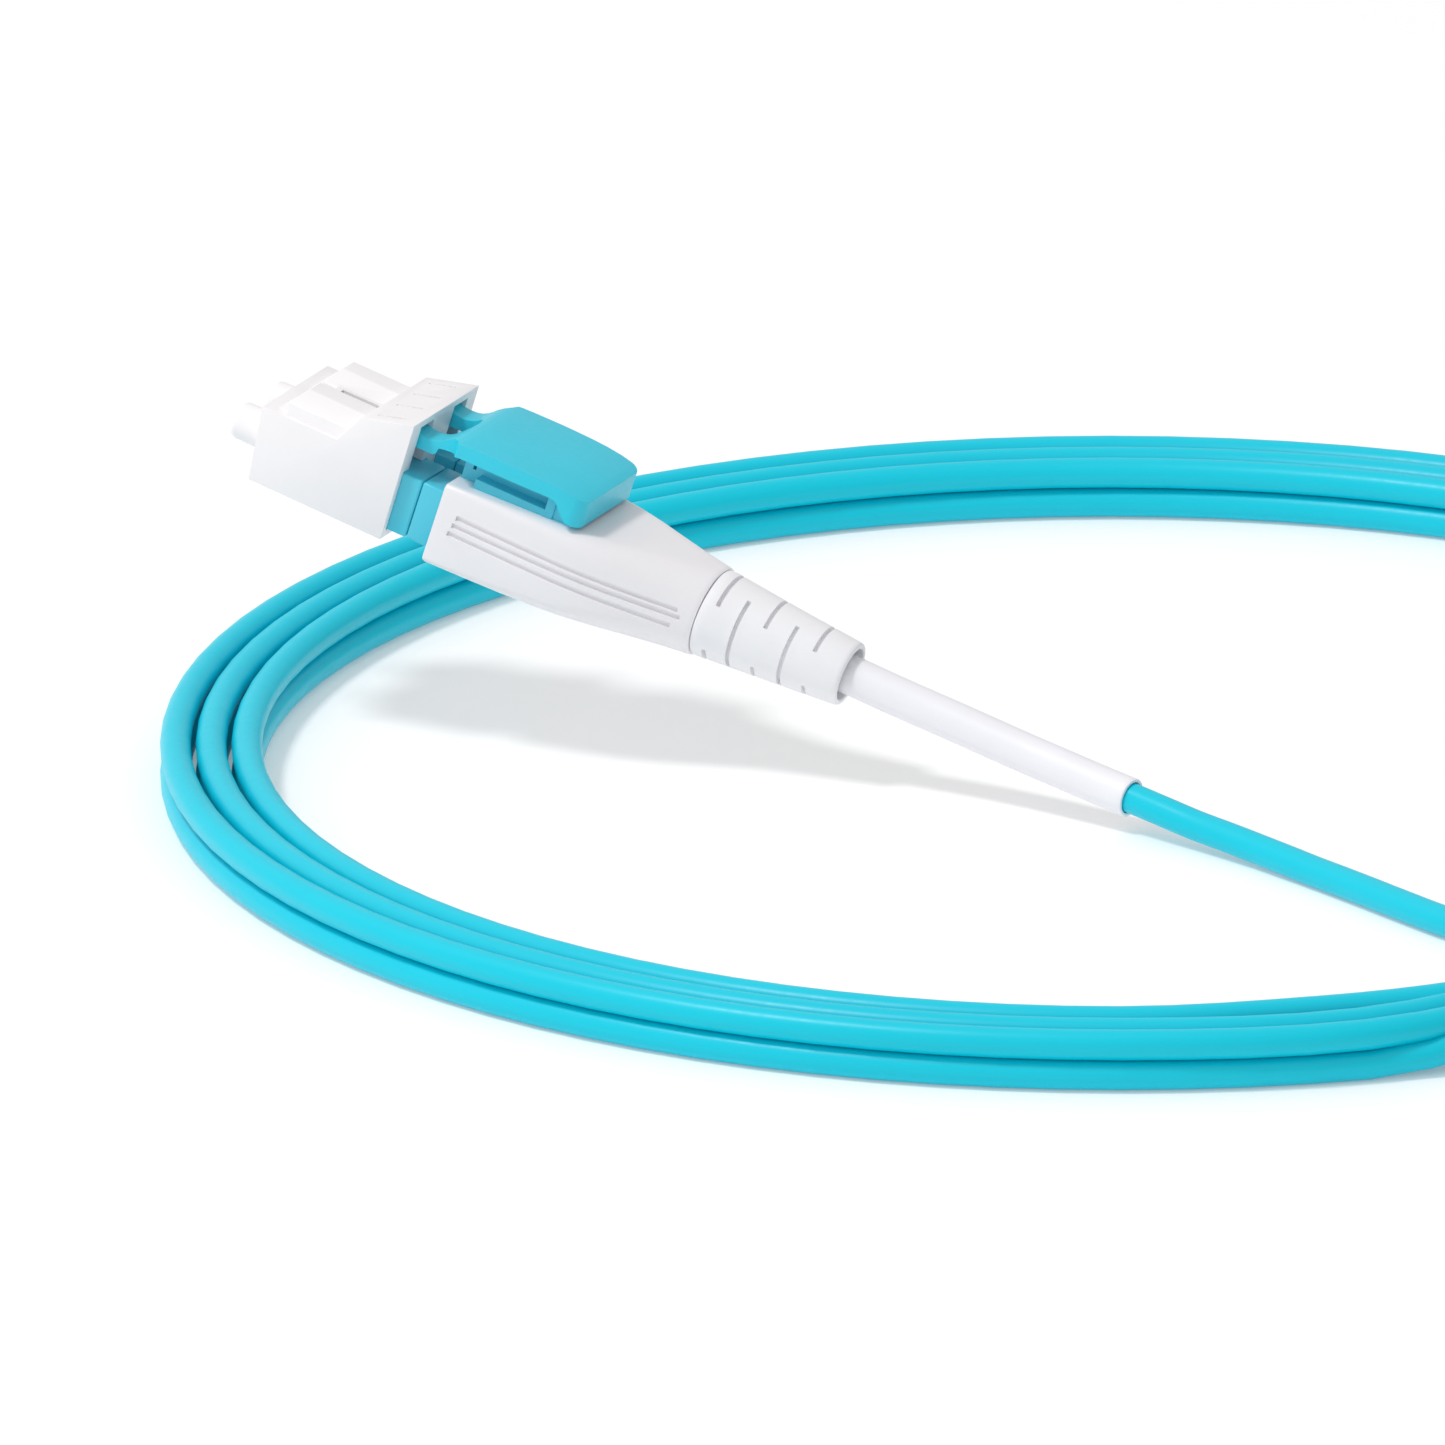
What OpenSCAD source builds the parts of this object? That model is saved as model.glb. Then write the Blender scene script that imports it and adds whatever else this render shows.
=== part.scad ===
// Duplex LC fibre patch cord: a coiled cable with a one-boot duplex plug on each end.
// Plug parts are drawn in a plug frame: x runs from the nose to the cable, y is sideways, z is up on
// the trigger's side, and the axes of the two ferrules lie in the plane z = 0.

/* [Cable] */
// Outer diameter of the cable jacket
cable_d = 2.2; // [2:0.05:2.4]
// Radius of the outer column of turns, to the middle of the cable
coil_r = 67.1; // [66.5:0.1:68]
// Distance between neighbouring columns of turns
column_pitch = 2.55; // [2.45:0.05:2.6]
// Number of columns of turns
columns = 3; // [3:1:3]

/* [Plug bodies] */
// Distance between the two ferrules
ferrule_pitch = 6.25; // [6.25:0.01:6.26]
// Side of the square plug body
plug_w = 4.5; // [4.4:0.05:4.5]
// Diameter of the ferrule
ferrule_d = 1.249; // [1.248:0.001:1.25]
// How far the ferrule can be pushed in
ferrule_travel = 0.8; // [0.5:0.1:0.8]

/* [Dust cap] */
// Full width of the dust cap
cap_w = 12.2; // [12.1:0.1:12.4]
// Outer diameter of the two nose tubes
tube_d = 2.76; // [2.6:0.02:2.9]
// Height of the rear collar above the ferrule axes
collar_top = 6.8; // [6.7:0.1:7]

/* [Trigger] */
// Full width of the trigger plate
trigger_w = 11.3; // [11:0.1:11.5]
// Height of the top of the plate above the ferrule axes
trigger_top = 6.4; // [6.4:0.1:6.5]

/* [Housing and boot] */
// Full width of the housing at its front
housing_w = 11.8; // [11.6:0.1:12]
// Outer diameter of the boot at its rear end
boot_end_d = 4.84; // [4.6:0.02:5]
// Number of rings of flex slots in the boot
boot_rings = 5; // [3:1:5]
// Outer diameter of the white tail tube
tail_d = 2.86; // [2.8:0.02:2.9]

/* [Lay] */
// How far the near plug's nose is tipped up, in degrees
near_pitch = 17; // [17:1:17]
// Place of the coil's centre, from side to side
coil_x = -4; // [-20:0.01:20]
// Place of the coil's centre, from front to back
coil_y = -46.05; // [-60:0.01:60]

/* [Hidden] */
ENDS = ["near", "far"];
SIDES = ["left", "right"];
PAIRED = ["plug", "latch", "ferrule", "flange", "spring", "rear_body", "fibre"];
SINGLE = [
    "dust_cap", "trigger", "trigger_base", "pivot_pin", "housing_lower", "housing_upper",
    "boot", "crimp_post", "crimp_ring", "yarn", "tail_tube", "cable"
];

white = [0.95, 0.95, 0.97];
aqua = [0.38, 0.80, 0.88];
jacket = [0.16, 0.84, 0.92];
metal = [0.75, 0.76, 0.78];
zirconia = [0.97, 0.97, 0.93];
yellow = [0.93, 0.80, 0.25];

smooth = 48;
joined = 0.01;      // overlap that joins the shapes of one solid
fit_gap = 0.01;     // radial gap between fixed round pieces
slide_gap = 0.05;   // gap between flat sliding pieces
side_y = ferrule_pitch / 2;

// stations along the plug frame's x
nose_front = -0.4;
cap_front = 2.4;
cap_back = 13.35;
plug_front = 3.7;
plug_back = 14.85;
rear_front = 14.9;
housing_front = 16.65;
housing_flat_back = 26;
boot_front = 38;
boot_back = 48;
tube_back = 71.7;
tail_start = 43.8;

// dust cap
cap_wall = 0.45;
pocket = plug_w / 2 + slide_gap;
cap_bottom = -pocket - cap_wall;
hump_w = 3.5;
channel_w = 2.5;

// latch arm and its root
latch_w = 2.2;
latch_root = [5.0, 2.35];
latch_root_r = 0.42;
latch_groove_r = 0.45;

// spring stack inside a plug body
chamber_r = 1.4;
flange_front = 6.4;
flange_back = 7.4;
spring_back = 12.85;
spring_r = 1.15;
spring_wire = 0.25;
fibre_r = 0.4;

// trigger hinge
hinge = [25.6, 4.45];
pin_r = 0.3;
pin_hole_r = 0.34;
plate_t = 1.3;
neck_w = 2.1;
skirt_t = 1.05;

// housing shells
housing_bottom = -3.2;
housing_top = 3.5;
shell_split = 0.2;
spigot_r = 1.2;
groove_depth = 0.15;

// crimp under the boot
post_r = 1.35;
post_bore_r = 0.95;
yarn_r = 1.5;
ring_r = 1.85;

// places of the two plugs, at the rear end of the boot, from the coil's centre
near_end = [-18.9, 0.7, 8.2];
near_heading = 23;
near_roll = -3;
far_end = [68.7, 47, 3.2];
far_heading = 70;

// routes of the free cable, from the coil's centre, from the plug towards the coil
near_tail_route = [
    [-22.6, 2.3, 9.4], [-18.9, 0.7, 8.2], [-16.3, -0.4, 7.3], [-13.6, -1.5, 6.4],
    [-11, -2.7, 5.6], [-8.4, -4, 4.8], [-5.9, -5.4, 4.1], [-3.4, -7, 3.5],
    [-0.9, -8.6, 2.9], [1.1, -10, 2.5]
];
near_cable_route = [
    [1.1, -10, 2.5], [3.4, -11.9, 2.1], [5.7, -13.8, 1.7], [7.9, -15.8, 1.5],
    [10.1, -17.9, 1.3], [12.1, -20.1, 1.2], [14.4, -22.7, 1.1], [17.3, -26.2, 1.1],
    [20.1, -29.7, 1.1], [23, -33.2, 1.1], [25.6, -35.8, 1.1], [28.7, -37.7, 1.1],
    [32.2, -39, 1.1], [35.8, -39.5, 1.1], [39.5, -39.2, 1.1], [43, -38.2, 1.1],
    [46.3, -36.5, 1.1], [49.1, -34.1, 1.1], [51.3, -31.1, 1.1], [53.3, -27.8, 1.1]
];
far_tail_route = [
    [67.3, 50.9, 3.2], [68.7, 47, 3.2], [70.1, 43.2, 3.2], [71.4, 39.6, 3.2],
    [72.8, 35.8, 3.2], [74.1, 32.1, 3.2], [75.5, 28.4, 3.2], [76.8, 24.7, 3.2]
];
far_cable_route = [
    [76.8, 24.7, 3.2], [78, 21.4, 3.2], [79.1, 17.7, 3], [79.9, 13.5, 2.6],
    [80.4, 9.2, 2], [80.5, 4.9, 1.4], [80.1, 0.6, 1.1], [79.3, -3.7, 1.1],
    [78.1, -8, 1.1], [76.6, -12.2, 1.2], [74.9, -16.4, 1.5], [72.8, -20.7, 2.1],
    [70.3, -25.1, 3], [67.3, -29.4, 4], [63.8, -33.7, 4.9], [59.9, -37.8, 5.5],
    [55.6, -41.6, 5.6], [51.1, -44.9, 5.6], [46.5, -47.7, 5.6], [41.8, -50, 5.4],
    [36.9, -51.7, 4.9], [31.3, -54, 4], [25.2, -56.7, 3.3]
];

// ---------- shared shapes ----------

// cylinder along x
module rod(x0, x1, r) {
    translate([x0, 0, 0]) rotate([0, 90, 0]) cylinder(h = x1 - x0, r = r, $fn = smooth);
}

// tube along x
module pipe(x0, x1, outer, inner) {
    difference() {
        rod(x0, x1, outer);
        rod(x0 - 1, x1 + 1, inner);
    }
}

// bar along x with a chamfered rectangle as its section
module bar(x0, x1, w, z0, z1, chamfer) {
    h = w / 2;
    c = chamfer;
    section = [
        [-h + c, z0], [h - c, z0], [h, z0 + c], [h, z1 - c],
        [h - c, z1], [-h + c, z1], [-h, z1 - c], [-h, z0 + c]
    ];
    translate([x0, 0, 0]) rotate([90, 0, 90]) linear_extrude(x1 - x0) polygon(section);
}

// outline in x and z, drawn out along y
module side_plate(outline, y0, y1) {
    translate([0, y1, 0]) rotate([90, 0, 0]) linear_extrude(y1 - y0) polygon(outline);
}

function unit(v) = v / norm(v);
function heading_at(route, i) =
    unit(route[min(i + 1, len(route) - 1)] - route[max(i - 1, 0)]);
function ring_points(route, i, r, sides) =
    let (t = heading_at(route, i), s = unit(cross(t, [0, 0, 1])), u = cross(s, t))
    [for (k = [0:sides - 1]) route[i] + r * (cos(360 * k / sides) * s + sin(360 * k / sides) * u)];

// one closed tube of radius r along a route
module swept(route, r, sides = 8) {
    rings = len(route);
    points = [for (i = [0:rings - 1]) each ring_points(route, i, r, sides)];
    walls = [
        for (i = [0:rings - 2]) for (k = [0:sides - 1])
            let (a = i * sides + k, b = i * sides + (k + 1) % sides)
            [a, a + sides, b + sides, b]
    ];
    first = [for (k = [0:sides - 1]) k];
    last = [for (k = [sides - 1:-1:0]) (rings - 1) * sides + k];
    polyhedron(points = points, faces = concat(walls, [first, last]), convexity = 6);
}

// puts plug-frame shapes where a plug lies
module placed(end) {
    at = end == "near" ? near_end : far_end;
    turn = end == "near" ? [near_roll, near_pitch, -near_heading] : [0, 0, -far_heading];
    translate([coil_x, coil_y, 0] + at) rotate(turn) translate([-boot_back, 0, 0]) children();
}

module from_coil() {
    translate([coil_x, coil_y, 0]) children();
}

// ---------- dust cap ----------

module cap_shell() {
    bar(cap_front, cap_back, cap_w, cap_bottom, 3.1, 0.3);
    side_plate(
        [[8.2, 0], [8.2, 3.05], [9.3, 5.5], [cap_back, collar_top], [cap_back, 0]],
        -cap_w / 2, cap_w / 2
    );
    for (s = [-1, 1]) {
        translate([0, s * side_y, 0]) {
            side_plate(
                [[3.25, 2.5], [3.25, 3.7], [5.6, 4.7], [9.3, 5.1], [9.3, 2.5]],
                -hump_w / 2, hump_w / 2
            );
            rod(nose_front, cap_front + joined, tube_d / 2);
        }
    }
}

module dust_cap() {
    slot = [5.2, 8.6];
    color(white) difference() {
        cap_shell();
        for (s = [-1, 1]) translate([0, s * side_y, 0]) {
            rod(nose_front + 0.5, plug_front, 0.85);
            bar(plug_front - slide_gap, cap_back + 1, 2 * pocket, -pocket, pocket, 0.1);
            side_plate(
                [[4.1, 2], [4.1, 2.9], [5.2, 3.95], [6.2, 4.5], [8.9, 4.6], [9.9, 5.1], [cap_back + 0.1, 6.3],
                 [cap_back + 0.1, 2]],
                -channel_w / 2, channel_w / 2
            );
        }
        translate([slot[0], -0.45, 1]) cube([slot[1] - slot[0], 0.9, 3]);
        // score lines on the sloping top of the collar
        for (y = [-4.6, -1.7, 1.7, 4.6])
            side_plate([[10.1, 5.6], [10.1, 6.2], [11.8, 6.75], [11.8, 6.15]], y - 0.12, y + 0.12);
    }
}

// ---------- LC plugs ----------

module plug() {
    color(aqua) difference() {
        bar(plug_front, plug_back, plug_w, -plug_w / 2, plug_w / 2, 0.2);
        rod(plug_front - 1, plug_back, 0.9);
        rod(flange_front - 0.1, plug_back + 1, chamber_r);
        translate([latch_root[0], 0, latch_root[1]]) rotate([90, 0, 0])
            cylinder(h = plug_w + 1, r = latch_groove_r, center = true, $fn = smooth);
    }
}

module latch() {
    arm = [
        [4.95, 2.45], [5.35, 2.5], [9.5, 3.45], [12.9, 3.8], [12.9, 4.4],
        [8.3, 4.05], [7.9, 4.35], [6.5, 4.3], [4.7, 2.7]
    ];
    color(aqua) {
        side_plate(arm, -latch_w / 2, latch_w / 2);
        translate([latch_root[0], 0, latch_root[1]]) rotate([90, 0, 0])
            cylinder(h = latch_w, r = latch_root_r, center = true, $fn = smooth);
    }
}

module ferrule() {
    color(zirconia) {
        rod(0.95, 7.9, ferrule_d / 2);
        translate([0.75, 0, 0]) rotate([0, 90, 0])
            cylinder(h = 0.2, r1 = 0.4, r2 = ferrule_d / 2, $fn = smooth);
    }
}

module flange() {
    color(metal) difference() {
        union() {
            rod(flange_front, flange_back, 1.25);
            rod(flange_back - joined, 8.5, 0.82);
        }
        rod(flange_front - 1, 7.9, ferrule_d / 2 + fit_gap);
        rod(7.5, 9, fibre_r + 0.05);
    }
}

// closed coils in one profile
module spring() {
    coils = 9;
    step = (spring_back - flange_back - 0.05) / coils;
    inner = spring_r - spring_wire;
    outline = [
        [inner, 0],
        for (i = [0:coils - 1]) each [
            [spring_r - 0.1, i * step], [spring_r, (i + 0.3) * step],
            [spring_r, (i + 0.7) * step], [spring_r - 0.1, (i + 1) * step - 0.001]
        ],
        [inner, coils * step]
    ];
    color(metal) translate([flange_back + 0.03, 0, 0]) rotate([0, 90, 0])
        rotate_extrude($fn = smooth) polygon(outline);
}

module rear_body() {
    color(aqua) difference() {
        union() {
            rod(spring_back + 0.05, rear_front + joined, chamber_r - fit_gap);
            bar(rear_front, housing_front, plug_w, -plug_w / 2, plug_w / 2, 0.2);
            rod(housing_front - joined, 19.5, spigot_r);
        }
        rod(spring_back - 1, 21, 0.7);
    }
}

module fibre(s) {
    bundle_y = fibre_r + 0.06;
    color(aqua) swept([
        [8.55, s * side_y, 0], [14, s * side_y, 0], [19.6, s * side_y, 0], [23, s * 2.8, 0],
        [26, s * 2, 0], [29.5, s * 1, 0], [33, s * bundle_y, 0], [38, s * bundle_y, 0],
        [43.5, s * bundle_y, 0]
    ], fibre_r);
}

// ---------- trigger ----------

module trigger_plan() {
    h = trigger_w / 2;
    back = 27;
    curve = [for (a = [0:15:90]) [back - 1.6 + 1.6 * cos(a), h - 1.6 + 1.6 * sin(a)]];
    neck_in = side_y - neck_w / 2;
    neck_out = side_y + neck_w / 2;
    half = concat(
        curve,
        [[16.6, h], [15.6, neck_out + 0.5], [14.6, neck_out], [12.6, neck_out],
         [12.6, neck_in], [14.6, neck_in], [15.8, neck_in - 0.8], [16.6, 0]]
    );
    polygon(concat(half, [for (i = [len(half) - 2:-1:0]) [half[i][0], -half[i][1]]]));
}

// dipped necks, a level plate and a rear end that droops
module trigger_side() {
    t = trigger_top;
    polygon([
        [12.5, 4.55], [12.5, 5.75], [13.4, 5.5], [14.4, 5.45], [15.4, 5.7], [16.6, t - 0.1],
        [18, t], [22.5, t], [25, t - 0.1], [27.1, t - 0.55], [27.1, 3.7], [26.7, 3.7],
        [25.1, 3.95], [24.4, t - plate_t], [16.6, t - plate_t], [15.4, 4.7], [14, 4.55]
    ]);
}

module trigger() {
    h = trigger_w / 2;
    color(aqua) difference() {
        intersection() {
            linear_extrude(10) trigger_plan();
            translate([0, h + 1, 0]) rotate([90, 0, 0]) linear_extrude(2 * h + 2) trigger_side();
        }
        // room for the base between the skirts
        translate([23, -h + skirt_t, 0]) cube([3.2, 2 * (h - skirt_t), trigger_top - plate_t]);
        translate([hinge[0], 0, hinge[1]]) rotate([90, 0, 0])
            cylinder(h = 2 * h - 0.8, r = pin_hole_r, center = true, $fn = smooth);
    }
}

module pivot_pin() {
    color(metal) translate([hinge[0], 0, hinge[1]]) rotate([90, 0, 0])
        cylinder(h = trigger_w - 1, r = pin_r, center = true, $fn = smooth);
}

module trigger_base() {
    web_top = 4.45;
    color(aqua) difference() {
        union() {
            bar(16.9, 24.6, 7.2, housing_top, web_top, 0.05);
            bar(18.4, 24.6, 9.2, housing_top, 4.1, 0.05);
            bar(23.9, 24.6, 9.2, housing_top, 4.95, 0.05);
            bar(24.55, 26.05, 8.9, housing_top, 4.95, 0.05);
        }
        translate([hinge[0], 0, hinge[1]]) rotate([90, 0, 0])
            cylinder(h = 12, r = pin_r + fit_gap, center = true, $fn = smooth);
    }
}

// ---------- housing ----------

// thin slice of the housing: half width, bottom, top and corner radius at one station
module slice(x, w, z0, z1, r) {
    for (y = [-w + r, w - r]) for (z = [z0 + r, z1 - r])
        translate([x, y, z]) rotate([0, 90, 0]) cylinder(h = 0.02, r = r, $fn = 32);
}

module housing_outside() {
    h = housing_w / 2;
    b = housing_bottom;
    t = housing_top;
    hull() { slice(housing_front, h - 0.4, b + 0.3, t - 0.3, 0.8); slice(17.4, h, b, t, 0.9); }
    hull() { slice(17.4, h, b, t, 0.9); slice(housing_flat_back, h, b, t, 1.2); }
    hull() { slice(housing_flat_back, h, b, t, 1.2); slice(32, 4.7, b, t - 0.05, 2.4); }
    hull() { slice(32, 4.7, b, t - 0.05, 2.4); slice(boot_front - 0.02, 3.3, b, 3.25, 3.2); }
}

module housing_inside() {
    h = housing_w / 2 - 1;
    hull() { slice(17.9, h, -2.3, 2.6, 0.6); slice(27, h, -2.3, 2.6, 0.6); }
    hull() { slice(27, h, -2.3, 2.6, 0.6); slice(36.5, 2.6, -2.5, 2.55, 2.3); }
}

module housing() {
    difference() {
        housing_outside();
        housing_inside();
        rod(36, boot_front + 1, 2.3);
        for (s = [-1, 1]) translate([0, s * side_y, 0]) rod(housing_front - 1, 18.5, spigot_r + fit_gap);
    }
}

module housing_lower() {
    color(white) difference() {
        housing();
        translate([10, -10, shell_split]) cube([40, 20, 10]);
    }
}

module housing_upper() {
    color(white) difference() {
        housing();
        translate([10, -10, shell_split - 10]) cube([40, 20, 10]);
    }
}

// ---------- crimp, boot and tail ----------

module crimp_post() {
    color(metal) difference() {
        union() {
            rod(35.2, 36.4, 2.25);
            rod(36.4 - joined, 43.4, post_r);
        }
        rod(34, 45, post_bore_r);
    }
}

module yarn() {
    color(yellow) pipe(38.4, 43.3, yarn_r, post_r + fit_gap);
}

module crimp_ring() {
    color(metal) pipe(38.2, 43.4, ring_r, yarn_r + fit_gap);
}

// alternate rings of slots: top and bottom, then both sides
module boot_slots() {
    first = 38.7;
    step = 1.85;
    width = 0.6;
    for (i = [0:boot_rings - 1]) translate([first + i * step, 0, 0]) rotate([90 * (i % 2), 0, 0])
        for (s = [-1, 1])
            translate([0, -4, s > 0 ? 0.9 : -4.9]) cube([width, 8, 4]);
}

module boot() {
    r0 = 3.2;
    r1 = boot_end_d / 2;
    color(white) difference() {
        union() {
            rod(36.6, boot_front + joined, 2.29);
            translate([boot_front, 0, 0]) rotate([0, 90, 0])
                cylinder(h = boot_back - boot_front, r1 = r0, r2 = r1, $fn = smooth);
        }
        difference() {
            boot_slots();
            rod(boot_front - 1, boot_back, 2.15);
        }
        rod(36, 43.6, ring_r + fit_gap);
        rod(36, boot_back + 1, tail_d / 2 + 0.03);
    }
}

module tail_tube(end) {
    color(white) from_coil() swept(end == "near" ? near_tail_route : far_tail_route, tail_d / 2);
}

module cable(end) {
    color(jacket) from_coil() swept(end == "near" ? near_cable_route : far_cable_route, cable_d / 2);
}

// all turns in one ring, two layers high
module coil() {
    outer = coil_r + cable_d / 2;
    inner = coil_r - (columns - 1) * column_pitch - cable_d / 2;
    top = 2 * cable_d;
    c = 0.5;
    color(jacket) from_coil() rotate_extrude($fn = 96) polygon([
        [inner + c, 0], [outer - c, 0], [outer, c], [outer, top - c],
        [outer - c, top], [inner + c, top], [inner, top - c], [inner, c]
    ]);
}

module paired(name, s) {
    if (name == "fibre") fibre(s);
    else translate([0, s * side_y, 0]) {
        if (name == "plug") plug();
        if (name == "latch") latch();
        if (name == "ferrule") ferrule();
        if (name == "flange") flange();
        if (name == "spring") spring();
        if (name == "rear_body") rear_body();
    }
}

for (end = ENDS) {
    placed(end) dust_cap();
    placed(end) trigger();
    placed(end) trigger_base();
    placed(end) pivot_pin();
    placed(end) housing_lower();
    placed(end) housing_upper();
    placed(end) boot();
    placed(end) crimp_post();
    placed(end) crimp_ring();
    placed(end) yarn();
    tail_tube(end);
    cable(end);
    for (name = PAIRED) for (side = SIDES)
        placed(end) paired(name, side == "left" ? 1 : -1);
}
coil();
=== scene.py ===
"""Duplex LC fibre patch cord. Shapes are drawn in millimetres in a plug frame (x runs from the nose to
the cable, y is sideways, z is up on the trigger's side) and then put where each plug lies."""

import math

import bmesh
import bpy
from mathutils import Matrix, Vector


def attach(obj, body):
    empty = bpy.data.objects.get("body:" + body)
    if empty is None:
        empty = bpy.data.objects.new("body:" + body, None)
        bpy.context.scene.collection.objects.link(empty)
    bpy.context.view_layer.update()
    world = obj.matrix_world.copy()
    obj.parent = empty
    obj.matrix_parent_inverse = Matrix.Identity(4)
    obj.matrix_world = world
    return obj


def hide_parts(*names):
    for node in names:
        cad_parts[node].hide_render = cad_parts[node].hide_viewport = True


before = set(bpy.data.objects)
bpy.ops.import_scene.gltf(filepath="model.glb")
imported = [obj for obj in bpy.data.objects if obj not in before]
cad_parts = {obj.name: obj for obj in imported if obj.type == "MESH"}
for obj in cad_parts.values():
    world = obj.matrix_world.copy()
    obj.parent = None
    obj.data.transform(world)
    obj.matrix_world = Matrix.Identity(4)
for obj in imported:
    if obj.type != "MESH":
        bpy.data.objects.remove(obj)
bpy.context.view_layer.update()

MM = 0.001
COIL = Vector((-4.0, -46.05, 0.0))  # the coil's centre, mm
ROOT = "cord"
ENDS = ("near", "far")
SIDES = (("left", 1), ("right", -1))
AXIS = 3.125  # each plug's axis stands this far to the side, mm
PLUG_HALF = 2.25  # half the width and height of one plug body, mm
SEAM = 0.2  # height of the parting line between the two housing shells, mm
TUBE_OUTER, TUBE_INNER = 1.43, 1.16  # radii of the white tube on the cable, mm


def turn(rx, ry, rz):
    x, y, z = (Matrix.Rotation(math.radians(a), 4, k) for a, k in ((rx, "X"), (ry, "Y"), (rz, "Z")))
    return z @ y @ x


PLACE = {
    "near": Matrix.Translation(COIL + Vector((-18.9, 0.7, 8.2))) @ turn(-3, 17, -23),
    "far": Matrix.Translation(COIL + Vector((68.7, 47, 3.2))) @ turn(0, 0, -70),
}
for end in ENDS:
    PLACE[end] = Matrix.Scale(MM, 4) @ PLACE[end] @ Matrix.Translation((-48, 0, 0))


# ---------- camera ----------

ELEVATION = math.radians(18.4)
aim = Vector((-32.04, -43.5, 4.0)) * MM
back = Vector((0, -math.cos(ELEVATION), math.sin(ELEVATION)))
cam = bpy.data.objects.new("camera", bpy.data.cameras.new("camera"))
bpy.context.collection.objects.link(cam)
DISTANCE = 4.0
SENSOR = 36  # mm
VIEW_WIDTH = 0.1032  # width of the view at the aim point, m
cam.data.sensor_width = SENSOR
cam.data.lens = SENSOR * DISTANCE / VIEW_WIDTH
cam.location = aim + back * DISTANCE
cam.rotation_mode = "QUATERNION"
cam.rotation_quaternion = (-back).to_track_quat("-Z", "Y")
cam.data.clip_start, cam.data.clip_end = 0.1, 60
bpy.context.scene.camera = cam


# ---------- cable route ----------

NEAR_TAIL = [
    (-22.6, 2.3, 9.4), (-18.9, 0.7, 8.2), (-16.3, -0.4, 7.3), (-13.6, -1.5, 6.4),
    (-11, -2.7, 5.6), (-8.4, -4, 4.8), (-5.9, -5.4, 4.1), (-3.4, -7, 3.5),
    (-0.9, -8.6, 2.9), (1.1, -10, 2.5),
]
NEAR_CABLE = [
    (1.1, -10, 2.5), (3.4, -11.9, 2.1), (5.7, -13.8, 1.7), (7.9, -15.8, 1.5),
    (10.1, -17.9, 1.3), (12.1, -20.1, 1.2), (14.4, -22.7, 1.1), (17.3, -26.2, 1.1),
    (20.1, -29.7, 1.1), (23, -33.2, 1.1), (25.6, -35.8, 1.1), (28.7, -37.7, 1.1),
    (32.2, -39, 1.1), (35.8, -39.5, 1.1), (39.5, -39.2, 1.1), (43, -38.2, 1.1),
    (46.3, -36.5, 1.1), (49.1, -34.1, 1.1), (51.3, -31.1, 1.1), (53.3, -27.8, 1.1),
]
FAR_TAIL = [
    (67.3, 50.9, 3.2), (68.7, 47, 3.2), (70.1, 43.2, 3.2), (71.4, 39.6, 3.2),
    (72.8, 35.8, 3.2), (74.1, 32.1, 3.2), (75.5, 28.4, 3.2), (76.8, 24.7, 3.2),
]
FAR_CABLE = [
    (76.8, 24.7, 3.2), (78, 21.4, 3.2), (79.1, 17.7, 3), (79.9, 13.5, 2.6),
    (80.4, 9.2, 2), (80.5, 4.9, 1.4), (80.1, 0.6, 1.1), (79.3, -3.7, 1.1),
    (78.1, -8, 1.1), (76.6, -12.2, 1.2), (74.9, -16.4, 1.5), (72.8, -20.7, 2.1),
    (70.3, -25.1, 3), (67.3, -29.4, 4), (63.8, -33.7, 4.9), (59.9, -37.8, 5.5),
    (55.6, -41.6, 5.6), (51.1, -44.9, 5.6), (46.5, -47.7, 5.6), (41.8, -50, 5.4),
    (36.9, -51.7, 4.9), (31.3, -54, 4), (25.2, -56.7, 3.3),
]
CABLE_R = 1.1
COLUMNS = (62.0, 64.55, 67.1, 67.1, 64.55, 62.0)  # radius of each turn, from the first laid to the last
LOW, HIGH = 1.1, 3.3
FIRST_ANGLE, LAST_ANGLE = -27.5, 2094
STEP = 15


def ease(s):
    s = min(max(s, 0.0), 1.0)
    return s * s * (3 - 2 * s)


def coil_point(angle):
    """One point of the coiled turns. Each turn moves to the next column between -60 and 60 degrees."""
    k = int(round(angle / 360))
    a = angle - 360 * k
    inside = abs(a) < 60 and k < 6
    here = COLUMNS[min(k, 5)]
    before = COLUMNS[k - 1] if k else here - 2.55
    if not inside:
        k = int(math.floor((angle + 60) / 360))
        r, z = COLUMNS[min(k, 5)], LOW if k < 3 else HIGH
    elif k == 3:  # the climb from the lower layer to the upper one, round the outside
        r = 67.1 + 2.55 * (ease((a + 60) / 60) - ease((a - 20) / 40))
        z = LOW + (HIGH - LOW) * ease((a + 20) / 50)
    else:
        r, z = before + (here - before) * ease((a + 60) / 120), LOW if k < 3 else HIGH
    t = math.radians(angle)
    return (r * math.cos(t), r * math.sin(t), z)


def smooth_route(points, soft=()):
    """Evens out small kinks at the joins, keeping the ends."""
    out = [Vector(p) for p in points]
    for i in soft:
        out[i] = (out[i - 1] + 2 * out[i] + out[i + 1]) / 4
    return out


def route():
    angles = []
    a = -15
    while a < LAST_ANGLE - 6:
        angles.append(a)
        a += STEP
    near = NEAR_TAIL[1:] + NEAR_CABLE[1:]
    far = list(reversed(FAR_TAIL[1:] + FAR_CABLE[1:]))
    pts = near + [coil_point(a) for a in angles] + far
    n = len(near)
    m = n + len(angles)
    return smooth_route(pts, (n - 2, n - 1, n, n + 1, m - 1, m, m + 1))


def to_world(p):
    return (Vector(p) + COIL) * MM


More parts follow.
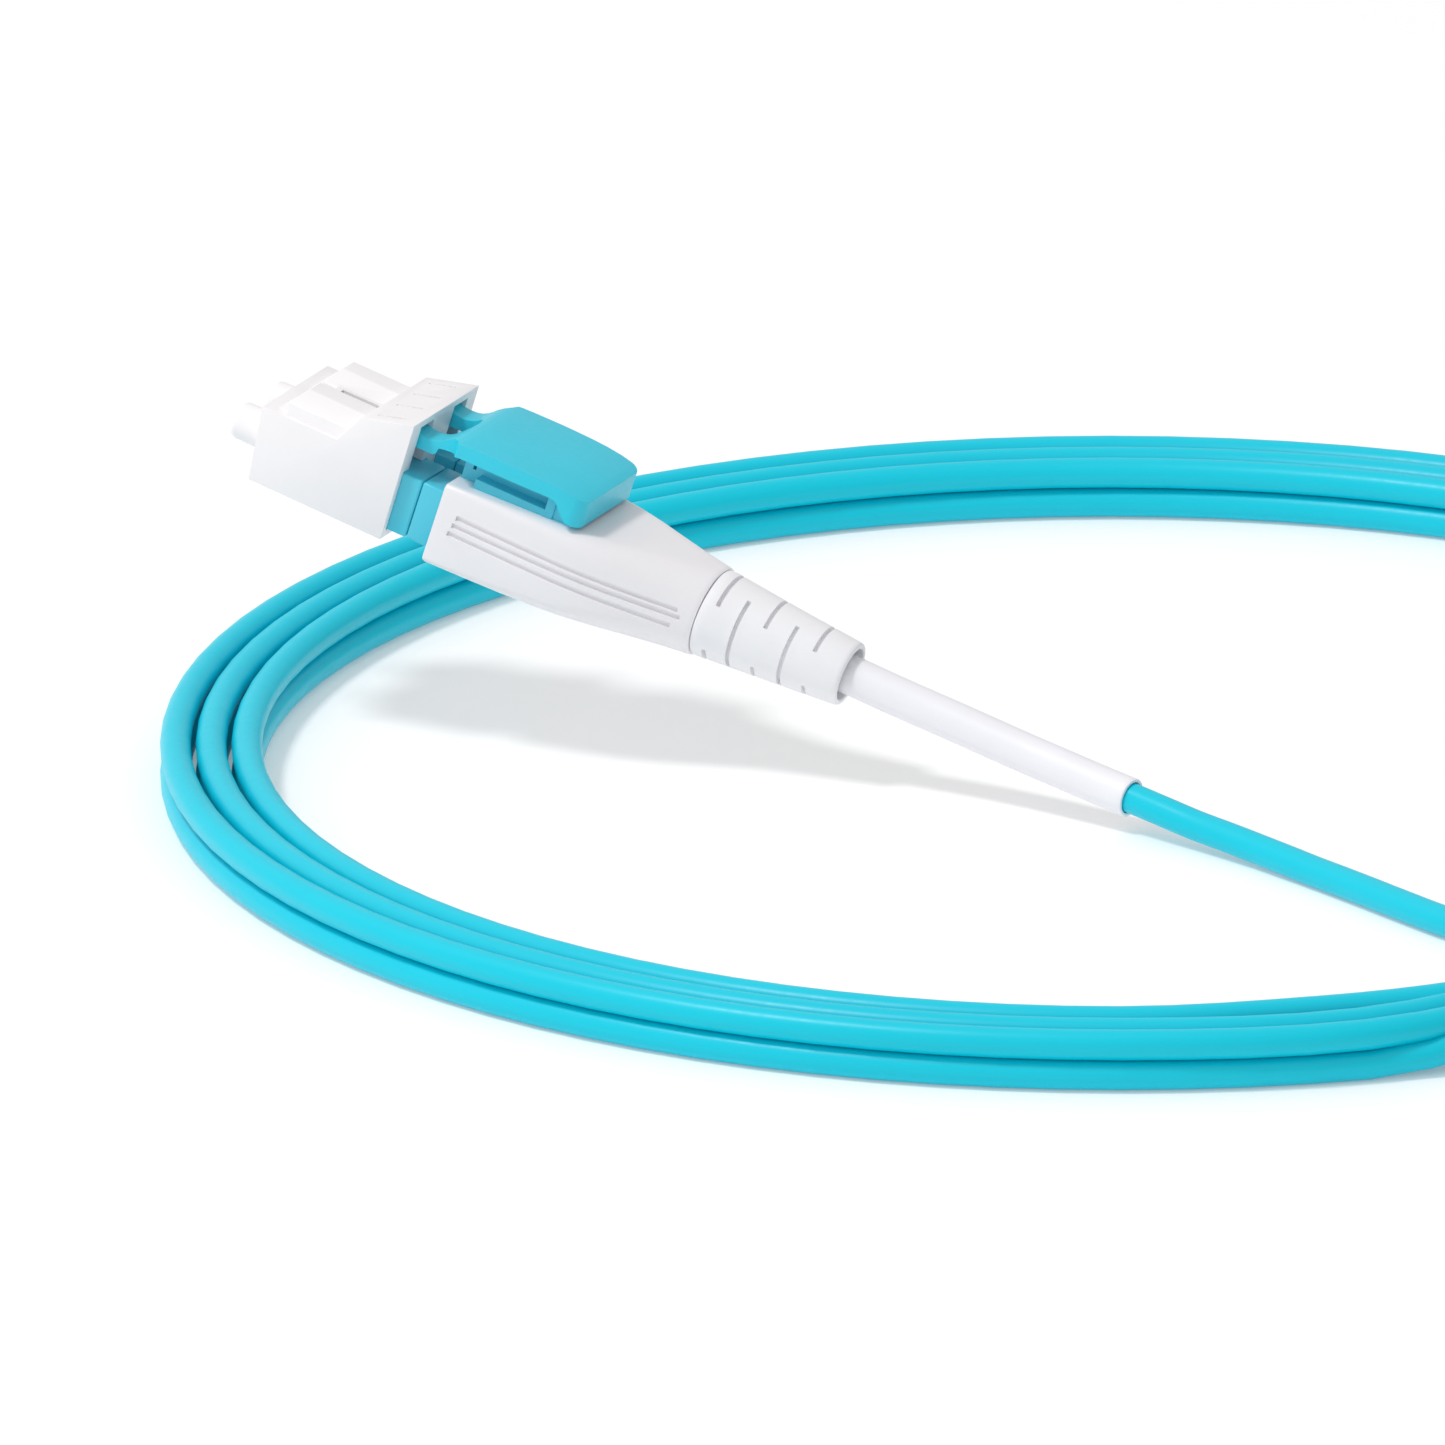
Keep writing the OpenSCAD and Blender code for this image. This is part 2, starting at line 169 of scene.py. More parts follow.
def bezier(name, points, radius, resolution=4, ring=10):
    data = bpy.data.curves.new(name, "CURVE")
    data.dimensions = "3D"
    data.resolution_u = resolution
    data.bevel_depth = radius * MM
    data.bevel_resolution = ring
    data.use_fill_caps = True
    data.twist_mode = "MINIMUM"
    s = data.splines.new("BEZIER")
    s.bezier_points.add(len(points) - 1)
    world = [to_world(p) for p in points]
    for i, b in enumerate(s.bezier_points):
        p = world[i]
        before, after = world[max(i - 1, 0)], world[min(i + 1, len(world) - 1)]
        t = after - before
        if p.z < (LOW + 0.05) * MM:
            t.z = 0.0
        t.normalize()
        b.handle_left_type = b.handle_right_type = "FREE"
        b.co = p
        b.handle_left = p - t * ((p - before).length / 3)
        b.handle_right = p + t * ((after - p).length / 3)
    o = bpy.data.objects.new(name, data)
    bpy.context.collection.objects.link(o)
    return o


# ---------- materials ----------


def linear(rgb):
    return tuple((c / 255 / 12.92) if c <= 10 else ((c / 255 + 0.055) / 1.055) ** 2.4 for c in rgb) + (1.0,)


def node(nodes, kind, **values):
    n = nodes.new(kind)
    for k, v in values.items():
        n.inputs[k.replace("_", " ")].default_value = v
    return n


def plastic(name, rgb, low=None, rough=0.4, spread=0.08, grain=2500, bump=4e-6, patch=120, ior=1.5, metal=0.0,
            soft=0.0, streak=None, gloss_level=0.5):
    """Moulded plastic, rubber or metal: a soft patchy tone, an uneven gloss and a fine grain."""
    m = bpy.data.materials.new(name)
    m.use_nodes = True
    t = m.node_tree
    nodes, links = t.nodes, t.links
    shader = nodes["Principled BSDF"]
    shader.inputs["IOR"].default_value = ior
    shader.inputs["Metallic"].default_value = metal
    shader.inputs["Specular IOR Level"].default_value = gloss_level
    if soft:
        shader.inputs["Subsurface Weight"].default_value = soft
        shader.inputs["Subsurface Radius"].default_value = (0.0012, 0.001, 0.0009)
        shader.inputs["Subsurface Scale"].default_value = 1.0
    where = nodes.new("ShaderNodeTexCoord")
    source = where.outputs["Object"]
    if streak:
        stretch = nodes.new("ShaderNodeMapping")
        stretch.inputs["Scale"].default_value = streak
        links.new(source, stretch.inputs["Vector"])
        source = stretch.outputs["Vector"]
    broad = node(nodes, "ShaderNodeTexNoise", Scale=patch, Detail=3.0, Roughness=0.55)
    links.new(where.outputs["Object"], broad.inputs["Vector"])
    tone = nodes.new("ShaderNodeMix")
    tone.data_type = "RGBA"
    tone.inputs["A"].default_value = linear(low or [c * 0.96 for c in rgb])
    tone.inputs["B"].default_value = linear(rgb)
    links.new(broad.outputs["Fac"], tone.inputs["Factor"])
    links.new(tone.outputs["Result"], shader.inputs["Base Color"])
    fine = node(nodes, "ShaderNodeTexNoise", Scale=grain, Detail=2.0, Roughness=0.6)
    links.new(source, fine.inputs["Vector"])
    gloss = nodes.new("ShaderNodeMapRange")
    gloss.inputs["To Min"].default_value = rough - spread
    gloss.inputs["To Max"].default_value = rough + spread
    links.new(fine.outputs["Fac"], gloss.inputs["Value"])
    links.new(gloss.outputs["Result"], shader.inputs["Roughness"])
    relief = nodes.new("ShaderNodeBump")
    relief.inputs["Strength"].default_value = 0.5
    relief.inputs["Distance"].default_value = bump
    links.new(fine.outputs["Fac"], relief.inputs["Height"])
    links.new(relief.outputs["Normal"], shader.inputs["Normal"])
    return m


CAP_WHITE = plastic("cap_white", (248, 245, 247), rough=0.42, grain=1800, bump=5e-6)
SHELL_WHITE = plastic("shell_white", (243, 240, 243), rough=0.38, grain=2200, bump=4e-6)
BOOT_WHITE = plastic("boot_white", (244, 243, 246), rough=0.55, grain=3000, bump=7e-6)
TUBE_WHITE = plastic("tube_white", (244, 243, 248), rough=0.48, grain=2600, bump=5e-6)
AQUA = plastic("aqua_plastic", (42, 206, 230), rough=0.36, grain=2000, bump=4e-6)
AQUA_BODY = plastic("aqua_body", (80, 206, 230), rough=0.32, grain=2000, bump=4e-6)
JACKET = plastic("aqua_jacket", (0, 205, 227), low=(0, 197, 220), rough=0.36, grain=1500, bump=6e-6, patch=60,
                 gloss_level=0.3)
STEEL = plastic("steel", (190, 192, 196), rough=0.3, metal=1.0, grain=4000, bump=2e-6)
CERAMIC = plastic("ceramic", (246, 246, 238), rough=0.12, spread=0.04, ior=2.1, grain=5000, bump=5e-7)
ARAMID = plastic("aramid", (232, 204, 92), rough=0.7, grain=1200, bump=4e-5, streak=(1, 8, 8))
BUFFER = plastic("buffer", (96, 204, 224), rough=0.45, grain=3000)


# ---------- mesh tools ----------


def new_mesh(name, verts, faces):
    me = bpy.data.meshes.new(name)
    me.from_pydata([tuple(v) for v in verts], [], faces)
    bm = bmesh.new()
    bm.from_mesh(me)
    bmesh.ops.recalc_face_normals(bm, faces=bm.faces)
    bm.to_mesh(me)
    bm.free()
    o = bpy.data.objects.new(name, me)
    bpy.context.collection.objects.link(o)
    return o


def loft(rings, name="loft"):
    """Closed skin through rings of equal length."""
    n = len(rings[0])
    verts = [p for r in rings for p in r]
    faces = [
        (i * n + k, i * n + (k + 1) % n, (i + 1) * n + (k + 1) % n, (i + 1) * n + k)
        for i in range(len(rings) - 1)
        for k in range(n)
    ]
    faces.append(tuple(range(n))[::-1])
    faces.append(tuple((len(rings) - 1) * n + k for k in range(n)))
    return new_mesh(name, verts, faces)


def circle(seg):
    """Cosine and sine of each step round a circle."""
    turns = [2 * math.pi * k / seg for k in range(seg)]
    return [(math.cos(t), math.sin(t)) for t in turns]


def rod(x0, x1, r0, r1=None, y=0.0, z=0.0, seg=48):
    r1 = r0 if r1 is None else r1
    return loft([[(x, y + r * c, z + r * s) for c, s in circle(seg)] for x, r in ((x0, r0), (x1, r1))])


def turned(profile, y=0.0, z=0.0, seg=64):
    """Round solid from (x, radius) pairs, closed at both ends."""
    return loft([[(x, y + r * c, z + r * s) for c, s in circle(seg)] for x, r in profile])


def cross_rod(x, z, y0, y1, r, seg=40):
    return loft([[(x + r * c, y, z + r * s) for c, s in circle(seg)] for y in (y0, y1)])


def prism(outline, y0, y1):
    """Outline in x and z, drawn out along y."""
    return loft([[(x, y, z) for x, z in outline] for y in (y0, y1)])


def plan(outline, z0, z1):
    """Outline in x and y, drawn out along z."""
    return loft([[(x, y, z) for x, y in outline] for z in (z0, z1)])


def block(x0, x1, y0, y1, z0, z1):
    return plan([(x0, y0), (x1, y0), (x1, y1), (x0, y1)], z0, z1)


def bake(o):
    """Applies the modifiers on o."""
    dg = bpy.context.evaluated_depsgraph_get()
    me = bpy.data.meshes.new_from_object(o.evaluated_get(dg))
    o.modifiers.clear()
    old = o.data
    o.data = me
    bpy.data.meshes.remove(old)
    return o


def combine(target, tools, operation):
    for tool in tools:
        m = target.modifiers.new("cut", "BOOLEAN")
        m.operation, m.object, m.solver = operation, tool, "EXACT"
        bake(target)
        bpy.data.objects.remove(tool)
    return target


def cut(target, *tools):
    return combine(target, tools, "DIFFERENCE")


def add(target, *tools):
    return combine(target, tools, "UNION")


def common(target, *tools):
    return combine(target, tools, "INTERSECT")


def clean(o, angle=1.0, merge=1e-3):
    bm = bmesh.new()
    bm.from_mesh(o.data)
    bmesh.ops.remove_doubles(bm, verts=bm.verts, dist=merge)
    bmesh.ops.dissolve_limit(bm, angle_limit=math.radians(angle), verts=bm.verts, edges=bm.edges)
    bm.to_mesh(o.data)
    bm.free()
    return o


def rounded(o, width, segments=3, angle=25):
    clean(o)
    m = o.modifiers.new("round", "BEVEL")
    m.width, m.segments, m.limit_method = width, segments, "ANGLE"
    m.angle_limit = math.radians(angle)
    m.use_clamp_overlap = True
    m.miter_outer = "MITER_ARC"
    return bake(o)


def finish_piece(master, name, end, material, body, nodes, sharp=38):
    """Copies a plug-frame mesh to one end as a piece of its own."""
    me = master.data.copy()
    me.transform(PLACE[end])
    for p in me.polygons:
        p.use_smooth = True
    me.set_sharp_from_angle(angle=math.radians(sharp))
    me.materials.clear()
    me.materials.append(material)
    me.name = name
    o = bpy.data.objects.new(name, me)
    bpy.context.collection.objects.link(o)
    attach(o, body)
    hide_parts(*nodes)
    return o


def drop(*masters):
    for o in masters:
        bpy.data.objects.remove(o)


# ---------- cable and tail tubes ----------


def tube_along(name, points, outer, inner, mouth, seg=40):
    """A sleeve along a route, with a hollow mouth at its last end."""
    world = [to_world(p) for p in points]
    spline = []
    for i in range(len(world) - 1):
        p0, p1 = world[max(i - 1, 0)], world[i]
        p2, p3 = world[i + 1], world[min(i + 2, len(world) - 1)]
        for k in range(4):
            s = k / 4
            spline.append(0.5 * (2 * p1 + (p2 - p0) * s + (2 * p0 - 5 * p1 + 4 * p2 - p3) * s * s
                                 + (3 * p1 - p0 - 3 * p2 + p3) * s ** 3))
    spline.append(world[-1])
    stations = [(p, outer) for p in spline]
    end = spline[-1]
    way = (spline[-1] - spline[-2]).normalized()
    stations[-1] = (end - way * 0.12 * MM, outer)
    stations += [(end - way * 0.03 * MM, outer - 0.04), (end, outer - 0.12), (end, inner + 0.06),
                 (end - way * 0.06 * MM, inner), (end - way * mouth * MM, inner)]
    rings = []
    for i, (p, r) in enumerate(stations):
        t = way
        if i < len(spline) - 1:
            t = (spline[i + 1] - spline[max(i - 1, 0)]).normalized()
        s = t.cross(Vector((0, 0, 1))).normalized()
        u = s.cross(t)
        rings.append([p + (s * math.cos(2 * math.pi * k / seg) + u * math.sin(2 * math.pi * k / seg)) * r * MM
                      for k in range(seg)])
    o = loft(rings, name)
    for p in o.data.polygons:
        p.use_smooth = True
    o.data.set_sharp_from_angle(angle=math.radians(40))
    o.data.materials.append(TUBE_WHITE)
    return o


points = route()
cable = bezier("cable", points, CABLE_R)
cable.data.materials.append(JACKET)
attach(cable, ROOT)
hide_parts("cable_near", "coil", "cable_far")
for end, pts in (("near", NEAR_TAIL), ("far", FAR_TAIL)):
    tube = tube_along("tail_sleeve_" + end, pts, TUBE_OUTER, TUBE_INNER, 1.5)
    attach(tube, ROOT)
    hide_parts("tail_tube_" + end)


def spline_length(o):
    dg = bpy.context.evaluated_depsgraph_get()
    total = 0
    for s in o.data.splines:
        b = s.bezier_points
        for i in range(len(b) - 1):
            p = [b[i].co, b[i].handle_right, b[i + 1].handle_left, b[i + 1].co]
            last = p[0]
            for k in range(1, 9):
                t = k / 8
                q = (1 - t) ** 3 * p[0] + 3 * (1 - t) ** 2 * t * p[1]
                q += 3 * (1 - t) * t * t * p[2] + t ** 3 * p[3]
                total += (q - last).length
                last = q
    return total


cable_length = spline_length(cable)


# ---------- dust cap ----------


def hump(y):
    """Cover over one latch: upright walls, a roof that falls to both sides, and a ramp at the front."""
    across = [(-2.65, 2.4), (-2.65, 3.75), (-0.95, 4.72), (0.95, 4.72), (2.65, 3.75), (2.65, 2.4)]
    cover = loft([[(x, y + v, z) for v, z in across] for x in (2.8, 9.4)])
    along = [(2.85, 2.3), (2.85, 2.8), (4.35, 4.7), (8.3, 4.66), (9.4, 4.66), (9.4, 2.3)]
    common(cover, prism(along, y - 3, y + 3))
    return cut(cover, *[block(2, 3.72, *sorted((y + q * 1.75, y + q * 4)), 2, 6) for q in (-1, 1)])


def make_cap():
    body = prism([(2.6, -2.78), (1.95, 2.8), (13.25, 2.8), (13.35, -2.85)], -6.1, 6.1)
    rear = prism([(8.0, 0), (8.0, 2.8), (9.25, 5.1), (13.2, 6.18), (13.3, 0)], -6.1, 6.1)
    add(body, rear, hump(AXIS), hump(-AXIS), block(4.9, 9.3, -0.7, 0.7, 2.2, 3.95))
    rounded(body, 0.12, 3)
    for s in (-1, 1):
        y = s * AXIS
        tube = turned([(-0.4, 0.98), (-0.37, 1.14), (-0.28, 1.27), (-0.14, 1.35), (0.05, 1.39), (2.0, 1.42),
                       (2.9, 1.46), (3.3, 1.46)], y)
        add(body, tube)
    tools = [block(5.4, 8.45, -0.26, 0.26, 1.6, 6)]
    for s in (-1, 1):
        y = s * AXIS
        tools.append(rod(0.1, 4, 0.85, y=y))
        tools.append(block(3.65, 14, y - 2.3, y + 2.3, -2.3, 2.3))
        channel = [(4.1, 2), (4.1, 2.9), (5.2, 3.85), (6.1, 4.42), (8.6, 4.45), (9.6, 4.75), (13.45, 5.7),
                   (13.45, 2)]
        tools.append(prism(channel, y - 1.25, y + 1.25))
    for y, a, b in ((-4.75, 10.0, 12.0), (-1.6, 10.1, 12.1), (1.6, 10.1, 12.1), (4.75, 10.0, 12.0)):
        za, zb = 5.1 + (a - 9.25) * 0.273, 5.1 + (b - 9.25) * 0.273
        mark = [(a, za - 0.05), (a, za + 0.4), (b, zb + 0.4), (b, zb - 0.22)]
        tools.append(prism(mark, y - 0.13, y + 0.13))
    cut(body, *tools)
    return clean(body, 0.5)


cap = make_cap()
for end in ENDS:
    finish_piece(cap, "cap_" + end, end, CAP_WHITE, "dust_cap_" + end, ["dust_cap_" + end])
drop(cap)


# ---------- LC plugs ----------


def make_plug(s):
    y = s * AXIS
    w = PLUG_HALF
    body = block(3.7, 14.85, y - w, y + w, -w, w)
    rounded(body, 0.18, 3)
    tools = [rod(2.7, 15.5, 0.9, y=y), rod(6.3, 16, 1.4, y=y), cross_rod(5.0, 2.35, y - 3, y + 3, 0.45)]
    # side windows where the ceramic carrier clips in
    for q in (-1, 1):
        tools.append(block(8.3, 10.1, y + q * 2.05, y + q * 2.6, -0.8, 0.8))
    tools.append(turned([(3.5, 1.35), (3.7, 1.2), (3.95, 0.9), (4.2, 0.85)], y))
    cut(body, *tools)
    return clean(body, 0.5)


def make_latch(s):
    y = s * AXIS
    top = [(4.62, 2.62), (5.0, 3.05), (5.6, 3.55), (6.4, 4.22), (6.6, 4.32), (7.8, 4.37), (8.0, 4.3),
           (8.25, 4.06), (8.6, 4.04), (10.5, 4.2), (12.5, 4.38), (12.75, 4.37), (12.9, 4.25)]
    under = [(12.9, 3.86), (12.7, 3.78), (9.5, 3.45), (7.4, 2.98), (5.45, 2.52), (5.3, 2.3), (4.7, 2.3)]
    arm = prism(top + under, y - 1.1, y + 1.1)
    rounded(arm, 0.1, 2)
    root = cross_rod(5.0, 2.35, y - 1.1, y + 1.1, 0.42)
    add(arm, root)
    # the two side lugs that catch behind the adapter's shoulders
    for q in (-1, 1):
        lug_side = [(6.5, 3.4), (6.5, 4.3), (7.85, 4.35), (8.1, 4.0), (8.1, 3.5)]
        lug = prism(lug_side, *sorted((y + q * 1.0, y + q * 1.2)))
        add(arm, lug)
    return clean(arm, 0.5)


def make_rear(s):
    y = s * AXIS
    w = PLUG_HALF
    body = block(14.9, 16.65, y - w, y + w, -w, w)
    rounded(body, 0.18, 3)
    add(body, rod(12.9, 15.2, 1.39, y=y), rod(16.4, 19.5, 1.2, y=y))
    cut(body, rod(12, 21, 0.7, y=y))
    return clean(body, 0.5)


for side, s in SIDES:
    plug_master, latch_master, rear_master = make_plug(s), make_latch(s), make_rear(s)
    for end in ENDS:
        tag = side + "_" + end
        for master, name, material, body, key in (
            (plug_master, "lc_body_", AQUA_BODY, ROOT, "plug_"),
            (latch_master, "lc_latch_", AQUA, "latch_" + tag, "latch_"),
            (rear_master, "lc_rear_", AQUA_BODY, ROOT, "rear_body_"),
        ):
            finish_piece(master, name + tag, end, material, body, [key + tag])
    drop(plug_master, latch_master, rear_master)


# ---------- trigger ----------


def arc(cx, cy, r, a0, a1, n):
    turns = [math.radians(a0 + (a1 - a0) * i / n) for i in range(n + 1)]
    return [(cx + r * math.cos(t), cy + r * math.sin(t)) for t in turns]


def make_trigger():
    h = 5.65
    corner = 1.1
    side = arc(26.9 - corner, h - corner - 0.25, corner, 0, 75, 7)
    half = side + [(25.2, 5.43), (23, 5.58), (21, h), (16.66, h), (16.6, h - 0.04), (16.35, 5.0),
                   (15.95, 4.55), (15.4, 4.28), (14.7, 4.2), (12.6, 4.2), (12.6, 2.07), (14.3, 2.07),
                   (14.9, 1.98), (15.35, 1.75), (15.65, 1.4), (15.8, 0.9), (15.88, 0)]
    full = half + [(x, -y) for x, y in reversed(half[:-1])]
    top = [(12.5, 5.22), (12.9, 5.1), (13.4, 5.0), (13.9, 4.97), (14.3, 5.0), (14.7, 5.1), (15.05, 5.28),
           (15.35, 5.52), (15.65, 5.78), (15.95, 5.98), (16.3, 6.1), (17.0, 6.17), (18, 6.2), (20, 6.22),
           (22.5, 6.2), (24, 6.15), (25.2, 6.04), (26.3, 5.85), (27.1, 5.64)]
    under = [(27.3, 3.7), (26.4, 3.7), (25.9, 3.8), (25.5, 4.1), (25.2, 4.45), (24.95, 4.8),
             (24.65, 5.08), (24.3, 5.15), (23.6, 5.17), (16.9, 5.15), (16.3, 5.02), (15.6, 4.8),
             (14.85, 4.62), (14.75, 4.2), (14.6, 4.02), (13.05, 4.0), (13.0, 4.58), (12.4, 4.6)]
    body = plan(full, 2, 8)
    common(body, prism(top + [(27.1, 1), (12.5, 1)], -h - 1, h + 1))
    rounded(body, 0.17, 4, 32)
    common(body, prism([(27.3, 9), (12.4, 9)] + under[::-1], -h - 1, h + 1))
    cut(body, block(23, 26.2, -4.6, 4.6, 2, 5.17))
    return clean(body, 0.5)


def make_base():
    web = block(16.9, 24.6, -3.5, 3.5, 2.9, 4.45)
    notch = [block(17.55, 17.8, q * 3.3 - 0.5, q * 3.3 + 0.5, 4.0, 5) for q in (-1, 1)]
    cut(web, *notch)
    rail = block(18.3, 24.55, -4.62, 4.62, 2.95, 3.85)
    rounded(rail, 0.1, 2)
    post = block(23.9, 24.6, -4.6, 4.6, 3.2, 4.95)
    rounded(post, 0.06, 2)
    ear = block(24.55, 26.05, -4.45, 4.45, 3.2, 4.95)
    add(web, rail, post, ear)
    cut(web, cross_rod(25.6, 4.45, -6, 6, 0.31))
    return clean(web, 0.5)


trigger, base = make_trigger(), make_base()
for end in ENDS:
    node_name = "trigger_" + end
    finish_piece(trigger, "trigger_plate_" + end, end, AQUA, node_name, [node_name], 30)
    finish_piece(base, "trigger_seat_" + end, end, AQUA_BODY, ROOT, ["trigger_base_" + end])
drop(trigger, base)


# ---------- housing ----------

# x, half width, bottom, top, corner radius
SECTIONS = [
    (16.65, 5.72, -3.02, 2.86, 0.3), (16.68, 5.8, -3.1, 2.94, 0.34), (16.74, 5.85, -3.15, 2.99, 0.37),
    (16.9, 5.9, -3.19, 3.03, 0.4), (17.5, 5.9, -3.2, 3.06, 0.45), (20, 5.9, -3.2, 3.16, 0.6),
    (23, 5.88, -3.2, 3.28, 0.85), (26, 5.78, -3.2, 3.36, 1.2), (28, 5.58, -3.2, 3.38, 1.55),
    (30, 5.22, -3.2, 3.39, 2.0), (32, 4.72, -3.2, 3.38, 2.45), (34, 4.2, -3.2, 3.36, 2.8),
    (35.5, 3.86, -3.2, 3.34, 3.0), (36.3, 3.7, -3.2, 3.32, 3.08), (36.62, 3.62, -3.19, 3.31, 3.12),
    (36.7, 3.57, -3.14, 3.26, 3.1),
]


def rounded_box(x, w, z0, z1, r, n=10):
    r = min(r, w - 0.001, (z1 - z0) / 2 - 0.001)
    pts = []
    for cy, cz, a in ((w - r, z1 - r, 0), (-w + r, z1 - r, 90), (-w + r, z0 + r, 180), (w - r, z0 + r, 270)):
        for k in range(n + 1):
            t = math.radians(a + 90 * k / n)
            pts.append((x, cy + r * math.cos(t), cz + r * math.sin(t)))
    return pts


def section_at(x):
    for a, b in zip(SECTIONS, SECTIONS[1:]):
        if a[0] <= x <= b[0]:
            f = (x - a[0]) / (b[0] - a[0])
            return [p + (q - p) * f for p, q in zip(a, b)]
    return list(SECTIONS[-1] if x > SECTIONS[-1][0] else SECTIONS[0])


def wall_y(x, z):
    """Half width of the housing at one station and height."""
    _, w, z0, z1, r = section_at(x)
    if z > z1 - r:
        return w - r + math.sqrt(max(r * r - (z - z1 + r) ** 2, 0))
    if z < z0 + r:
        return w - r + math.sqrt(max(r * r - (z0 + r - z) ** 2, 0))
    return w


def groove(q, x0, x1, za, zb, half=0.19, depth=0.24):
    rings = []
    n = 24
    for i in range(n + 1):
        x = x0 + (x1 - x0) * i / n
        z = za + (zb - za) * i / n
        y = wall_y(x, z)
        rings.append([(x, q * (y - depth), z - half * 0.6), (x, q * (y - depth), z + half * 0.6),
                      (x, q * (y + 0.25), z + half * 1.6), (x, q * (y + 0.25), z - half * 1.6)])
    return loft(rings)


def make_housing():
    body = loft([rounded_box(*s) for s in SECTIONS])
    tools = [rod(35, 39, 2.3)]
    for s in (-1, 1):
        tools.append(rod(15, 18.5, 1.22, y=s * AXIS))
    cut(body, *tools)
    grooves = []
    for q in (-1, 1):
        grooves.append(groove(q, 18.2, 35.4, 0.95, 0.6))
        grooves.append(groove(q, 18.05, 35.7, 0.3, 0.1))
        grooves.append(groove(q, 17.9, 35.2, -0.38, -0.7))
    cut(body, *grooves)
    return clean(body, 0.2)


def half_of(master, z, keep_top):
    """One shell of the housing, with its own closed parting face."""
    me = master.data.copy()
    bm = bmesh.new()
    bm.from_mesh(me)
    geom = bm.verts[:] + bm.edges[:] + bm.faces[:]
    r = bmesh.ops.bisect_plane(bm, geom=geom, dist=1e-5, plane_co=(0, 0, z), plane_no=(0, 0, 1),
                               clear_outer=not keep_top, clear_inner=keep_top)
    edges = [e for e in r["geom_cut"] if isinstance(e, bmesh.types.BMEdge)]
    bmesh.ops.contextual_create(bm, geom=edges)
    bmesh.ops.recalc_face_normals(bm, faces=bm.faces)
    bm.to_mesh(me)
    bm.free()
    o = bpy.data.objects.new("half", me)
    bpy.context.collection.objects.link(o)
    return o


housing = make_housing()
upper, lower = half_of(housing, SEAM, True), half_of(housing, SEAM, False)
for end in ENDS:
    for shell, key in ((upper, "upper_"), (lower, "lower_")):
        node_name = "housing_" + key + end
        finish_piece(shell, "shell_" + key + end, end, SHELL_WHITE, ROOT, [node_name], 30)
drop(housing, upper, lower)


# ---------- boot ----------


def make_boot():
    profile = [(36.6, 2.29), (36.73, 2.29), (36.72, 3.05), (36.74, 3.16), (36.8, 3.22), (36.9, 3.25),
               (37.5, 3.24), (38.1, 3.19), (43, 2.8), (47.6, 2.44), (47.85, 2.4), (47.96, 2.32),
               (48, 2.22), (48, 2.06), (47.93, 1.98), (47.5, 1.95), (45, 1.7), (44.6, 1.46)]
    rings = []
    for x, radius in profile:
        wide = 1 + 0.1 * (1 - ease((x - 36.7) / 2.6)) if radius > 2.5 else 1
        lift = 0.05 * (x < 40)
        turns = [math.pi * k / 40 for k in range(80)]
        rings.append([(x, radius * wide * math.cos(t), lift + radius * math.sin(t)) for t in turns])
    body = loft(rings)
    slots = []
    for i, x in enumerate((37.85, 39.65, 41.6, 43.6, 45.55)):
        r_out = 4.2
        r_in = 3.2 - 0.0816 * (x - 38) - 0.32
        for q in (-1, 1):
            middle = (90 if q > 0 else 270) if i % 2 == 0 else (0 if q > 0 else 180)
            n = 18
            rings = []
            for x1 in (x - 0.16, x + 0.16):
                ring = []
                for k in range(n + 1):
                    t = math.radians(middle - 58 + 116 * k / n)
                    ring.append((x1, r_out * math.cos(t), r_out * math.sin(t)))
                for k in range(n + 1):
                    t = math.radians(middle + 58 - 116 * k / n)
                    ring.append((x1, r_in * math.cos(t), r_in * math.sin(t)))
                rings.append(ring)
            slots.append(loft(rings))
    cut(body, *slots)
    cut(body, rod(36, 44.7, 1.9))
    return clean(body, 0.3)


boot = make_boot()
for end in ENDS:
    finish_piece(boot, "boot_sleeve_" + end, end, BOOT_WHITE, ROOT, ["boot_" + end], 34)
drop(boot)


# ---------- CAD pieces that stay ----------

KEPT = {
    "pivot_pin": STEEL, "crimp_post": STEEL, "crimp_ring": STEEL, "yarn": ARAMID,
    "ferrule_left": CERAMIC, "ferrule_right": CERAMIC, "flange_left": STEEL, "flange_right": STEEL,
    "spring_left": STEEL, "spring_right": STEEL, "fibre_left": BUFFER, "fibre_right": BUFFER,
}
for key, material in KEPT.items():
    for end in ENDS:
        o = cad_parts[key + "_" + end]
        for k in range(len(o.material_slots)):
            o.material_slots[k].material = material


# ---------- floor and light ----------

